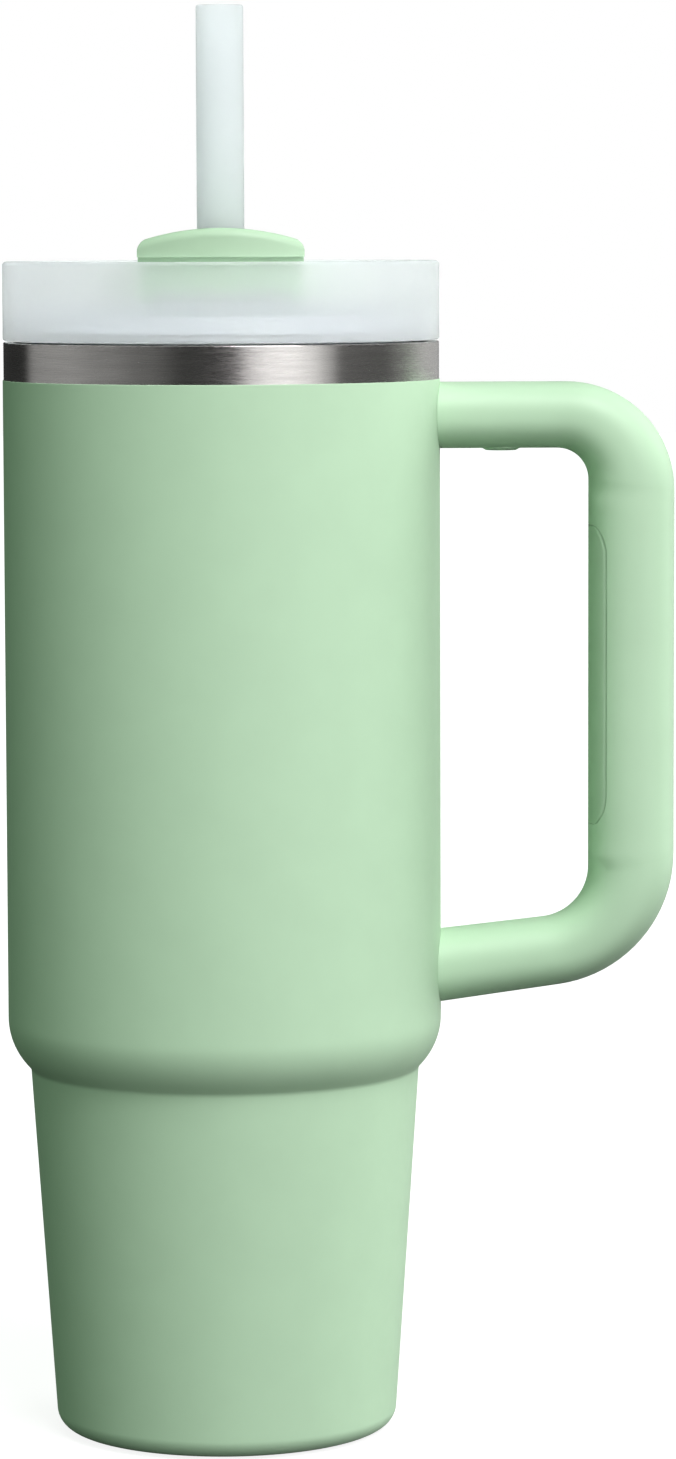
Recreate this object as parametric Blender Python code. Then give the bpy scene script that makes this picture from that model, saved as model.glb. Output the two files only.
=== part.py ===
"""Insulated travel mug: double-wall steel vessel, bolted side handle, screw-on lid with a rotary cover,
and a straight straw.

The origin is on the vessel's axis at the plane it stands on. +Z is up, +X points to the handle and -Y is
the front. All sizes are in millimetres here and are written to the scene in metres.
"""

import math

import bmesh
import bpy
from mathutils import Vector

MM = 0.001
SEGMENTS = 40            # facets round every large turned piece
GAP = 0.3                # clearance between pieces that touch

# Vessel
BODY_R = 48.4            # powder-coated upper body
BARE_R = 48.2            # uncoated steel band below the lid
WALL = 0.5               # both steel walls
VACUUM_GAP = 3.4
COAT_TOP_Z = 235.0
RIM_Z = 243.3
STEP_TOP_Z = 92.9        # where the upper body starts to curve in
STEP_ARC_R = 15.1
STEP_ANGLE = math.radians(41)
KINK_ARC_R = 1.8
TAPER_BASE_R = 37.88     # radius of the lower taper's line at the base plane
TAPER_SLOPE = 0.068
BASE_ARC_R = 4.5
BASE_RING_R = 30.6       # inner edge of the shell's turned-in foot
FLOOR_Z = 9.6            # inside floor of the liner
LINER_ARC_R = 6.0

# Screw thread between lid and liner
THREAD_STARTS = 3
THREAD_LEAD = 15.0
THREAD_STEPS = 12        # facets that each thread rib spans
THREAD_Z = 232.7         # start of the liner's ribs
THREAD_DROP = 2.05       # lid ribs run this far below the liner's
LINER_CREST_R = 42.5
LID_CREST_R = 43.4
RIB_ROOT_H = 2.2
RIB_CREST_H = 1.4

# Lid
LID_R = 48.3
LID_TOP_Z = 261.1
LID_GAP = 0.4            # between the lid's band and the steel rim
BAND_WALL = 2.25
PLUG_R = 42.1
PLUG_WALL = 2.3
PLUG_BOTTOM_Z = 228.2
DECK_Z = 252.5
DECK_T = 2.2
TROUGH_Z = 248.7
SEAT_Z = 245.6           # underside that presses on the gasket
STEM_HOLE_R = 6.5
DRINK_IN_R = 32.6
DRINK_OUT_R = 39.2
DRINK_HALF = math.radians(17)

# Straw
STRAW_R = 5.12
STRAW_BORE_R = 4.15
STRAW_Y = -25.5
STRAW_TOP_Z = 316.1
STRAW_BOTTOM_Z = FLOOR_Z + 1.2

# Rotary cover
COVER_HALF = 17.9
COVER_END_R = 45.0
COVER_TOP_Z = 268.3
COVER_ARCH_R = 56.0
COVER_EDGE_R = 2.0
COVER_STEP_Z = 262.0     # shadow step above the rim
COVER_STEP = 0.8
COVER_BOTTOM_Z = DECK_Z + 0.4
COVER_WALL = 2.2
COVER_CEILING_Z = 263.6
SLOT_HALF = STRAW_R + 0.75
STEM_R = 6.0
BOSS_R = 10.0
SEAL_T = 1.6

# Handle outline: outer and inner edges are lines joined by arcs in the XZ plane
HANDLE_OUT_X = 100.5
HANDLE_IN_X = 81.5
ARM_TOP_Z = 234.2
ARM_BOTTOM_Z = 219.5
OUT_TOP_R = 24.0
IN_TOP_R = 7.1
OUT_LOW_R = 29.8
IN_LOW_R = 11.4
LOW_OUT_Z = 95.8         # lower arm's lower edge where it meets the body
LOW_OUT_ANGLE = math.radians(8.0)
LOW_IN_Z = 111.9         # lower arm's upper edge where it meets the body
LOW_IN_ANGLE = math.radians(6.3)
ARM_HALF_WIDTH = 10.0
GRIP_HALF_WIDTH = 11.4
HANDLE_ROOT_X = 44.0     # the blank starts inside the body and is trimmed to it
SECTION_POINTS = 20
INLAY_T = 2.0
INLAY_SPAN = 3           # section points each side of the inner line
INLAY_FROM = 9.0         # the inlay starts and stops this far past the arms' tangents

POST_LENGTH = 20.0
POST_HALF_Y = 4.2
POST_HALF_Z = 3.0
POST_RISE = 8.8          # post's middle above the arm's underside at the screw
PLATE_HALF_Z = 4.0
PLATE_HALF_ANGLE = math.radians(6.2)
SCREW_X = 62.0
SCREW_R = 2.0
SCREW_HEAD_R = 3.5
PLUG_CAP_R = 4.3


# ---------------------------------------------------------------- helpers

def arc(centre, radius, start, stop, count):
    """Points on an arc in a plane, both ends included. Angles are in radians."""
    step = (stop - start) / (count - 1)
    return [(centre[0] + radius * math.cos(start + i * step),
             centre[1] + radius * math.sin(start + i * step)) for i in range(count)]


def material(name, colour, roughness, metallic=0.0, alpha=1.0):
    found = bpy.data.materials.new(name)
    found.use_nodes = True
    shader = found.node_tree.nodes["Principled BSDF"]
    shader.inputs["Base Color"].default_value = (*colour, 1.0)
    shader.inputs["Roughness"].default_value = roughness
    shader.inputs["Metallic"].default_value = metallic
    shader.inputs["Alpha"].default_value = alpha
    return found


def add_object(name, mesh_data, finish=None, helper=False):
    """Writes a bmesh to a new object. A helper is a cutter or guide that isn't part of the mug."""
    bmesh.ops.remove_doubles(mesh_data, verts=mesh_data.verts, dist=1e-6)
    bmesh.ops.recalc_face_normals(mesh_data, faces=mesh_data.faces)
    mesh = bpy.data.meshes.new(name)
    mesh_data.to_mesh(mesh)
    mesh_data.free()
    obj = bpy.data.objects.new(name, mesh)
    bpy.context.scene.collection.objects.link(obj)
    if helper:
        obj.hide_render = True
        obj.display_type = "WIRE"
    else:
        mesh.shade_smooth()
        mesh.set_sharp_from_angle(angle=math.radians(35))
        obj.data.materials.append(finish)
    return obj


def turned(name, profile, finish=None, helper=False, segments=SEGMENTS, at=(0, 0)):
    """A piece turned about a vertical axis at the point at, from its closed (radius, height) outline."""
    mesh_data = bmesh.new()
    verts = [mesh_data.verts.new((r * MM, 0, z * MM)) for r, z in profile]
    edges = [mesh_data.edges.new((verts[i - 1], verts[i])) for i in range(len(verts))]
    bmesh.ops.spin(mesh_data, geom=verts + edges, cent=(0, 0, 0), axis=(0, 0, 1), dvec=(0, 0, 0),
                   angle=math.tau, steps=segments, use_merge=True)
    bmesh.ops.remove_doubles(mesh_data, verts=mesh_data.verts, dist=1e-6)
    loose = [e for e in mesh_data.edges if not e.link_faces]
    bmesh.ops.delete(mesh_data, geom=loose, context="EDGES")
    obj = add_object(name, mesh_data, finish, helper)
    obj.location = (at[0] * MM, at[1] * MM, 0)
    return obj


def prism(name, outline, low, high, finish=None, helper=False):
    """A plan outline, as (x, y) points, extruded from one height to another."""
    mesh_data = bmesh.new()
    face = mesh_data.faces.new([mesh_data.verts.new((x * MM, y * MM, low * MM)) for x, y in outline])
    made = bmesh.ops.extrude_face_region(mesh_data, geom=[face])
    top = [v for v in made["geom"] if isinstance(v, bmesh.types.BMVert)]
    bmesh.ops.translate(mesh_data, verts=top, vec=(0, 0, (high - low) * MM))
    return add_object(name, mesh_data, finish, helper)


def box(name, low, high, finish=None, helper=False):
    corners = [(low[0], low[1]), (high[0], low[1]), (high[0], high[1]), (low[0], high[1])]
    return prism(name, corners, low[2], high[2], finish, helper)


def stacked(name, rings, finish=None, helper=False):
    """A solid through a list of closed rings with equal point counts, capped at both ends."""
    mesh_data = bmesh.new()
    loops = [[mesh_data.verts.new(Vector(p) * MM) for p in ring] for ring in rings]
    count = len(rings[0])
    for lower, upper in zip(loops, loops[1:]):
        for i in range(count):
            mesh_data.faces.new((lower[i - 1], lower[i], upper[i], upper[i - 1]))
    mesh_data.faces.new(list(reversed(loops[0])))
    mesh_data.faces.new(loops[-1])
    return add_object(name, mesh_data, finish, helper)


def combine(obj, other, operation):
    step = obj.modifiers.new(operation.lower() + "_" + other.name, "BOOLEAN")
    step.operation = operation
    step.solver = "EXACT"
    step.object = other
    return obj


# ---------------------------------------------------------------- vessel

def taper_radius(z):
    return TAPER_BASE_R + TAPER_SLOPE * z


def wall_line(offset):
    """Side of the vessel from the base arc to the straight upper body, moved in by offset."""
    tilt = math.atan(TAPER_SLOPE)
    arc_r = STEP_ARC_R - offset
    centre = (BODY_R - STEP_ARC_R, STEP_TOP_Z)
    end = (centre[0] + arc_r * math.cos(STEP_ANGLE), centre[1] - arc_r * math.sin(STEP_ANGLE))
    lean = math.tan(STEP_ANGLE)
    base_r = TAPER_BASE_R - offset / math.cos(tilt)
    cross_z = (base_r - end[0] + end[1] * lean) / (lean - TAPER_SLOPE)
    cross_r = base_r + TAPER_SLOPE * cross_z
    kink_r = KINK_ARC_R + offset
    reach = kink_r * math.tan((STEP_ANGLE - tilt) / 2)
    start = (cross_r - reach * math.sin(tilt), cross_z - reach * math.cos(tilt))
    kink = (start[0] + kink_r * math.cos(tilt), start[1] - kink_r * math.sin(tilt))
    points = arc(kink, kink_r, math.pi - tilt, math.pi - STEP_ANGLE, 3)
    points += arc(centre, arc_r, -STEP_ANGLE, 0.0, 5)
    return points


def base_arc(offset, count):
    """Rounded bottom corner, from the foot up to the taper, moved in by offset."""
    tilt = math.atan(TAPER_SLOPE)
    centre_r = TAPER_BASE_R - BASE_ARC_R * (1 - math.sin(tilt)) / math.cos(tilt)
    return arc((centre_r, BASE_ARC_R), BASE_ARC_R - offset, -math.pi / 2, -tilt, count)


def thread_ribs(name, root_r, crest_r, start_z):
    """Helper solids for one multi-start thread: ribs on a right-hand helix about the vessel's axis.

    They start halfway along a facet, so that no rib's corner falls on an edge of the wall it joins.
    """
    ribs = []
    for start in range(THREAD_STARTS):
        first = start * SEGMENTS // THREAD_STARTS
        rings = []
        for i in range(THREAD_STEPS + 1):
            angle = math.tau * (first + 0.5 + i) / SEGMENTS
            z = start_z + THREAD_LEAD * i / SEGMENTS
            section = ((root_r, -RIB_ROOT_H / 2), (crest_r, -RIB_CREST_H / 2),
                       (crest_r, RIB_CREST_H / 2), (root_r, RIB_ROOT_H / 2))
            rings.append([(r * math.cos(angle), r * math.sin(angle), z + dz) for r, dz in section])
        ribs.append(stacked(f"{name}_{start}", rings, helper=True))
    return ribs


def build_vessel(finishes):
    inner = WALL
    outline = [(BASE_RING_R, WALL), (BASE_RING_R, 0.0)]
    outline += base_arc(0.0, 4) + wall_line(0.0)
    outline += [(BODY_R, COAT_TOP_Z), (BARE_R, COAT_TOP_Z), (BARE_R, RIM_Z), (BODY_R - inner, RIM_Z)]
    outline += [(r, z) for r, z in reversed(base_arc(inner, 4) + wall_line(inner))]
    turned("outer_shell", outline, finishes["coat"])

    liner_in = WALL + VACUUM_GAP + WALL
    liner_r = BODY_R - liner_in
    corner_r = taper_radius(FLOOR_Z + LINER_ARC_R) - liner_in - LINER_ARC_R
    inside = [(0.0, FLOOR_Z)]
    inside += arc((corner_r, FLOOR_Z + LINER_ARC_R), LINER_ARC_R, -math.pi / 2, 0, 4)
    inside += wall_line(liner_in) + [(liner_r, RIM_Z - 1.0), (liner_r + 1.0, RIM_Z)]
    outside = [(BODY_R - WALL - GAP, RIM_Z), (BODY_R - WALL - GAP, RIM_Z - WALL),
               (liner_r + WALL + 0.8, RIM_Z - WALL), (liner_r + WALL, RIM_Z - 1.3)]
    outside += reversed(wall_line(liner_in - WALL))
    outside += reversed(arc((corner_r, FLOOR_Z + LINER_ARC_R), LINER_ARC_R + WALL, -math.pi / 2, 0, 4))
    liner = turned("inner_liner", inside + outside + [(0.0, FLOOR_Z - WALL)], finishes["steel"])
    for rib in thread_ribs("liner_rib", liner_r + WALL / 2, LINER_CREST_R, THREAD_Z):
        combine(liner, rib, "UNION")

    # Structural base, pressed as a dish with a raised seat for the getter and a pit for the seal
    rim = base_arc(WALL + GAP, 5)[3]
    base_z = WALL + GAP
    turned("outer_base", [(2.4, base_z + 0.4), (5.0, base_z + 0.4), (7.0, base_z + 1.6),
                          (BASE_RING_R - 2.0, base_z + 1.6), (BASE_RING_R + 1.0, base_z),
                          (rim[0] - 2.6, base_z), (rim[0] - 0.3, rim[1] - 0.3),
                          (rim[0] - 0.9, rim[1] + 0.3), (rim[0] - 3.0, base_z + 0.8),
                          (BASE_RING_R + 1.3, base_z + 0.8), (BASE_RING_R - 1.7, base_z + 2.4),
                          (6.7, base_z + 2.4), (4.7, base_z + 1.2), (2.4, base_z + 1.2)],
           finishes["steel"])
    turned("vacuum_seal", [(0, base_z + 0.1), (1.6, base_z + 0.1), (2.0, base_z + 0.5),
                           (2.0, base_z + 1.1), (1.2, base_z + 1.5), (0, base_z + 1.5)],
           finishes["glass"], segments=16)
    turned("base_cap", [(0, 0), (BASE_RING_R - GAP - 0.4, 0), (BASE_RING_R - GAP, 0.3),
                        (BASE_RING_R - GAP, 0.6), (0, 0.6)], finishes["steel"])
    top = base_z + 2.4 + GAP
    turned("getter_holder", [(2.6, top), (7.4, top), (7.4, top + 2.0), (6.9, top + 2.0),
                             (6.9, top + 0.5), (2.6, top + 0.5)],
           finishes["steel"], segments=24, at=(18.0, 0))
    turned("getter", [(0, top + 0.8), (6.0, top + 0.8), (6.6, top + 1.2), (6.6, top + 2.6),
                      (6.0, top + 3.0), (0, top + 3.0)], finishes["getter"], segments=24, at=(18.0, 0))


# ---------------------------------------------------------------- handle

def handle_edges():
    """Outer and inner edges of the handle, from the upper root round to the lower root.

    Both have the same number of points, so that a section can be drawn between each pair.
    """
    def edge(top_z, x, top_r, low_r, low_z, low_angle):
        # Lower corner: tangent to the vertical edge and to the sloping arm
        slope_x, slope_z = math.cos(low_angle), math.sin(low_angle)
        reach = low_r * math.tan((math.pi / 2 - low_angle) / 2)
        corner_z = low_z + (x - BODY_R) * math.tan(low_angle)
        low_centre = (x - low_r, corner_z + reach)
        low_end = (x - reach * slope_x, corner_z - reach * slope_z)
        top_centre = (x - top_r, top_z - top_r)
        points = [(HANDLE_ROOT_X + t * (top_centre[0] - HANDLE_ROOT_X), top_z) for t in (0, 0.5, 0.85)]
        points += arc(top_centre, top_r, math.pi / 2, 0, 7)
        length = top_centre[1] - low_centre[1]
        steps = [INLAY_FROM, INLAY_FROM + GAP, length / 2, length - INLAY_FROM - GAP, length - INLAY_FROM]
        points += [(x, top_centre[1] - d) for d in steps]
        points += arc(low_centre, low_r, 0, low_angle - math.pi / 2, 7)
        root = (HANDLE_ROOT_X, low_end[1] - (low_end[0] - HANDLE_ROOT_X) * math.tan(low_angle))
        points += [(low_end[0] + t * (root[0] - low_end[0]), low_end[1] + t * (root[1] - low_end[1]))
                   for t in (0.15, 0.5, 1.0)]
        return points

    outer = edge(ARM_TOP_Z, HANDLE_OUT_X, OUT_TOP_R, OUT_LOW_R, LOW_OUT_Z, LOW_OUT_ANGLE)
    inner = edge(ARM_BOTTOM_Z, HANDLE_IN_X, IN_TOP_R, IN_LOW_R, LOW_IN_Z, LOW_IN_ANGLE)
    return outer, inner


def section_point(outer, inner, half_width, angle, depth=0.0):
    """Point on a rounded section between an outer and an inner edge point, sunk by depth."""
    centre = Vector(((outer[0] + inner[0]) / 2, 0, (outer[1] + inner[1]) / 2))
    reach = Vector(((outer[0] - inner[0]) / 2, 0, (outer[1] - inner[1]) / 2))
    c, s = math.cos(angle), math.sin(angle)
    squareness = 2 / 2.4
    across = math.copysign(abs(c) ** squareness, c)
    along = math.copysign(abs(s) ** squareness, s)
    sink = 1 - depth / reach.length
    return centre + reach * across * sink + Vector((0, half_width * along * (1 - depth / half_width), 0))


def handle_widths(count):
    """Half width of each section: arms, then the wider grip, then arms again."""
    widths = []
    for i in range(count):
        t = min(1.0, max(0.0, (min(i, count - 1 - i) - 3) / 6))
        widths.append(ARM_HALF_WIDTH + (GRIP_HALF_WIDTH - ARM_HALF_WIDTH) * t * t * (3 - 2 * t))
    return widths


def build_handle(finishes):
    outer, inner = handle_edges()
    count = len(outer)
    widths = handle_widths(count)
    first, last = 10, 14                      # sections at the two ends of the inlay's straight
    middle = SECTION_POINTS // 2
    pocket = range(middle - INLAY_SPAN, middle + INLAY_SPAN + 1)
    wall = math.radians(2.5)

    def ring(i, sunk):
        points = []
        for k in range(SECTION_POINTS):
            angle = math.tau * k / SECTION_POINTS
            if k == pocket[0]:
                points.append(section_point(outer[i], inner[i], widths[i], angle - wall))
            depth = INLAY_T + GAP if sunk and k in pocket else 0.0
            points.append(section_point(outer[i], inner[i], widths[i], angle, depth))
            if k == pocket[-1]:
                points.append(section_point(outer[i], inner[i], widths[i], angle + wall))
        return points

    rings = [ring(i, first < i < last) for i in range(count)]
    frame = stacked("handle_frame", rings, finishes["grip"])
    trim_low, trim_high = LOW_OUT_Z - 15, ARM_TOP_Z + 5
    frame_cut = turned("body_trim", [(0, trim_low), (BODY_R + GAP, trim_low),
                                     (BODY_R + GAP, trim_high), (0, trim_high)], helper=True)
    combine(frame, frame_cut, "DIFFERENCE")

    # Soft inlay that fills the pocket on the finger side
    margin = 2 * GAP / (outer[first][1] - outer[last][1])
    edges = []
    for t in (margin, 0.25, 0.5, 0.75, 1 - margin):
        edges.append(tuple((a[0], a[1] + t * (b[1] - a[1]))
                           for a, b in ((outer[first], outer[last]), (inner[first], inner[last]))))
    inlay_rings = []
    for out_point, in_point in edges:
        skin, back = [], []
        for k in pocket:
            angle = math.tau * k / SECTION_POINTS
            trim = wall if k == pocket[0] else -wall if k == pocket[-1] else 0.0
            skin.append(section_point(out_point, in_point, GRIP_HALF_WIDTH, angle + trim))
            back.append(section_point(out_point, in_point, GRIP_HALF_WIDTH, angle + trim, INLAY_T))
        inlay_rings.append(skin + back[::-1])
    stacked("grip_inlay", inlay_rings, finishes["grip_soft"])

    # Each arm slides over a post welded to the shell, and one screw from below locks it
    low_under_z = LOW_OUT_Z + (SCREW_X - BODY_R) * math.tan(LOW_OUT_ANGLE)
    arms = (("upper", ARM_BOTTOM_Z, (ARM_TOP_Z + ARM_BOTTOM_Z) / 2, 0.45),
            ("lower", low_under_z, (LOW_OUT_Z + LOW_IN_Z) / 2, -0.45))
    for side, under_z, root_z, proud in arms:
        build_fixing(side, under_z, root_z + 1.0, proud, frame, finishes)


def build_fixing(side, under_z, plate_z, proud, frame, finishes):
    """Bracket, screw and plug of one arm, with their pockets in the handle frame.

    under_z is the arm's underside at the screw, and the plug stands proud of it.
    """
    post_z = under_z + POST_RISE
    start = BODY_R + GAP
    post_end = BODY_R + POST_LENGTH
    plate_r = start + 1.2
    spread = PLATE_HALF_ANGLE
    plate = [(start * math.cos(a), start * math.sin(a)) for a in (-spread, 0, spread)]
    plate += [(plate_r * math.cos(a), plate_r * math.sin(a)) for a in (spread, 0, -spread)]
    bracket = prism(f"{side}_bracket", plate, plate_z - PLATE_HALF_Z, plate_z + PLATE_HALF_Z,
                    finishes["steel"])
    post = box(f"{side}_post", (start + 0.6, -POST_HALF_Y, post_z - POST_HALF_Z),
               (post_end, POST_HALF_Y, post_z + POST_HALF_Z), helper=True)
    combine(bracket, post, "UNION")
    hole = turned(f"{side}_thread_hole", [(0, post_z - 8), (SCREW_R + GAP, post_z - 8),
                                          (SCREW_R + GAP, post_z + 8), (0, post_z + 8)],
                  helper=True, segments=16, at=(SCREW_X, 0))
    combine(bracket, hole, "DIFFERENCE")

    socket = box(f"{side}_socket", (BODY_R - 3, -POST_HALF_Y - GAP, post_z - POST_HALF_Z - GAP),
                 (post_end + GAP, POST_HALF_Y + GAP, post_z + POST_HALF_Z + GAP), helper=True)
    seat_y = plate_r * math.sin(spread) + GAP
    seat = box(f"{side}_plate_seat", (BODY_R - 3, -seat_y, plate_z - PLATE_HALF_Z - GAP),
               (plate_r + GAP, seat_y, plate_z + PLATE_HALF_Z + GAP), helper=True)
    combine(frame, socket, "DIFFERENCE")
    combine(frame, seat, "DIFFERENCE")

    # Screw, head down, then the plug that hides it
    socket_z = post_z - POST_HALF_Z - GAP
    head_top = socket_z - 1.5
    head_low = head_top - 1.9
    screw_top = post_z + POST_HALF_Z - 0.8
    turned(f"{side}_screw", [(0, head_low + 0.9), (1.3, head_low + 0.9), (1.3, head_low),
                             (SCREW_HEAD_R - 0.4, head_low), (SCREW_HEAD_R, head_low + 0.4),
                             (SCREW_HEAD_R, head_top - GAP), (SCREW_R, head_top - GAP),
                             (SCREW_R, screw_top - 0.5), (SCREW_R - 0.5, screw_top), (0, screw_top)],
           finishes["steel"], segments=16, at=(SCREW_X, 0))
    plug_low = under_z - proud
    plug_top = head_low - GAP
    turned(f"{side}_screw_plug", [(0, plug_low), (PLUG_CAP_R - 0.9, plug_low), (PLUG_CAP_R, plug_low + 0.5),
                                  (PLUG_CAP_R, plug_top - 0.2), (PLUG_CAP_R - 0.2, plug_top), (0, plug_top)],
           finishes["grip_soft"], segments=20, at=(SCREW_X, 0))
    well = turned(f"{side}_screw_well", [(0, under_z - 6), (PLUG_CAP_R + GAP, under_z - 6),
                                         (PLUG_CAP_R + GAP, head_low - GAP / 2),
                                         (SCREW_HEAD_R + GAP, head_low - GAP / 2),
                                         (SCREW_HEAD_R + GAP, head_top), (SCREW_R + GAP, head_top),
                                         (SCREW_R + GAP, post_z), (0, post_z)],
                  helper=True, segments=20, at=(SCREW_X, 0))
    combine(frame, well, "DIFFERENCE")


# ---------------------------------------------------------------- lid

def sector(in_r, out_r, start, stop, count):
    """Plan outline of a curved slot about the vessel's axis."""
    return arc((0, 0), out_r, start, stop, count) + arc((0, 0), in_r, stop, start, count)


def straw_slot(extra):
    """Plan outline of the cover's slot: round about the straw, then open to the cover's left side."""
    half = SLOT_HALF + extra
    reach = abs(STRAW_Y)
    side = math.radians(-90 - 78)
    front = math.radians(-90)
    outline = arc((0, STRAW_Y), half, front, math.pi / 2, 7)
    outline += arc((0, 0), reach - half, front, side, 8)[1:]
    outline += arc((0, 0), reach + half, side, front, 8)[:-1]
    return outline


def build_lid(finishes):
    band_in = LID_R - BAND_WALL
    low = RIM_Z + LID_GAP
    outline = [(STEM_HOLE_R, DECK_Z - DECK_T), (PLUG_R - PLUG_WALL, DECK_Z - DECK_T),
               (PLUG_R - PLUG_WALL, PLUG_BOTTOM_Z + 0.5), (PLUG_R - PLUG_WALL + 0.5, PLUG_BOTTOM_Z),
               (PLUG_R - 0.6, PLUG_BOTTOM_Z), (PLUG_R, PLUG_BOTTOM_Z + 0.6), (PLUG_R, SEAT_Z),
               (band_in + 0.7, SEAT_Z), (band_in + 0.7, low), (LID_R - 0.4, low), (LID_R, low + 0.4)]
    outline += arc((LID_R - 0.9, LID_TOP_Z - 0.9), 0.9, 0, math.pi / 2, 3)
    outline += [(band_in + 0.5, LID_TOP_Z), (band_in, LID_TOP_Z - 0.5), (band_in, TROUGH_Z + 0.5),
                (band_in - 0.5, TROUGH_Z), (PLUG_R + 0.5, TROUGH_Z), (PLUG_R, TROUGH_Z + 0.5),
                (PLUG_R, DECK_Z - 0.6), (PLUG_R - 0.6, DECK_Z), (STEM_HOLE_R, DECK_Z)]
    lid = turned("lid_body", outline, finishes["frosted"])
    for rib in thread_ribs("lid_rib", PLUG_R - PLUG_WALL / 2, LID_CREST_R, THREAD_Z - THREAD_DROP):
        combine(lid, rib, "UNION")
    hole_r, hole_low, hole_high = STRAW_R + 1.4, DECK_Z - 8, DECK_Z + 6
    straw_hole = turned("straw_hole",
                        [(0, hole_low), (hole_r, hole_low), (hole_r, hole_high), (0, hole_high)],
                        helper=True, segments=24, at=(0, STRAW_Y))
    combine(lid, straw_hole, "DIFFERENCE")
    drink = prism("drink_hole", sector(DRINK_IN_R, DRINK_OUT_R, math.pi / 2 - DRINK_HALF,
                                       math.pi / 2 + DRINK_HALF, 7), DECK_Z - 5, DECK_Z + 5, helper=True)
    combine(lid, drink, "DIFFERENCE")

    turned("lid_gasket", [(PLUG_R + 0.4, RIM_Z + GAP), (band_in + 0.1, RIM_Z + GAP),
                          (band_in + 0.3, RIM_Z + GAP + 0.3), (band_in + 0.3, SEAT_Z - GAP),
                          (PLUG_R + 0.4, SEAT_Z - GAP)], finishes["silicone"])
    under = DECK_Z - DECK_T
    turned("straw_seal", [(STRAW_R + GAP, under - 1.7), (STRAW_R + 3.2, under - 1.7),
                          (STRAW_R + 3.2, under - GAP), (STRAW_R + 1.1, under - GAP),
                          (STRAW_R + 1.1, DECK_Z), (STRAW_R + GAP, DECK_Z)],
           finishes["silicone"], segments=24, at=(0, STRAW_Y))


# ---------------------------------------------------------------- rotary cover

def plan_grid(half, end_r, columns, rows):
    """Grid of (x, y) points over a bar with straight sides and round ends."""
    grid = []
    for i in range(columns + 1):
        x = half * math.sin(math.pi / 2 * (2 * i / columns - 1))
        reach = math.sqrt(end_r ** 2 - x ** 2)
        grid.append([(x, reach * math.sin(math.pi / 2 * (2 * j / rows - 1))) for j in range(rows + 1)])
    return grid


def cover_height(x, y):
    """Top of the cover: a shallow arch across it, rounded over at every edge."""
    arch = COVER_TOP_Z - (COVER_ARCH_R - math.sqrt(COVER_ARCH_R ** 2 - x ** 2))
    inside = min(COVER_HALF - abs(x), COVER_END_R - math.hypot(x, y))
    short = max(0.0, COVER_EDGE_R - inside)
    return arch - (COVER_EDGE_R - math.sqrt(max(0.0, COVER_EDGE_R ** 2 - short ** 2)))


def boundary(grid):
    """Outline of a plan grid, going round once."""
    last = len(grid) - 1
    side = len(grid[0]) - 1
    return ([(i, 0) for i in range(last)] + [(last, j) for j in range(side)]
            + [(i, side) for i in range(last, 0, -1)] + [(0, j) for j in range(side, 0, -1)])


def cover_blank(columns=12, rows=20):
    """The cover's outside, before its slot and its hollow are cut."""
    mesh_data = bmesh.new()
    narrow = plan_grid(COVER_HALF - COVER_STEP, COVER_END_R - COVER_STEP, columns, rows)
    full = plan_grid(COVER_HALF, COVER_END_R, columns, rows)
    edge = boundary(full)

    def sheet(grid, height):
        return [[mesh_data.verts.new(Vector((x, y, height(x, y))) * MM) for x, y in line] for line in grid]

    def loop(grid, z):
        return [mesh_data.verts.new(Vector((*grid[i][j], z)) * MM) for i, j in edge]

    top = sheet(full, cover_height)
    bottom = sheet(narrow, lambda x, y: COVER_BOTTOM_Z)
    for surface in (top, bottom):
        for i in range(columns):
            for j in range(rows):
                mesh_data.faces.new((surface[i][j], surface[i + 1][j], surface[i + 1][j + 1],
                                     surface[i][j + 1]))
    rings = [[bottom[i][j] for i, j in edge], loop(narrow, COVER_STEP_Z), loop(full, COVER_STEP_Z + 0.4),
             [top[i][j] for i, j in edge]]
    for lower, upper in zip(rings, rings[1:]):
        for i in range(len(edge)):
            mesh_data.faces.new((lower[i - 1], lower[i], upper[i], upper[i - 1]))
    return mesh_data


def plan_outline(half, end_r):
    """Plan outline of a bar with straight sides and round ends."""
    corner = math.asin(half / end_r)
    return (arc((0, 0), end_r, -math.pi / 2 - corner, -math.pi / 2 + corner, 9)
            + arc((0, 0), end_r, math.pi / 2 - corner, math.pi / 2 + corner, 9))


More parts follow.
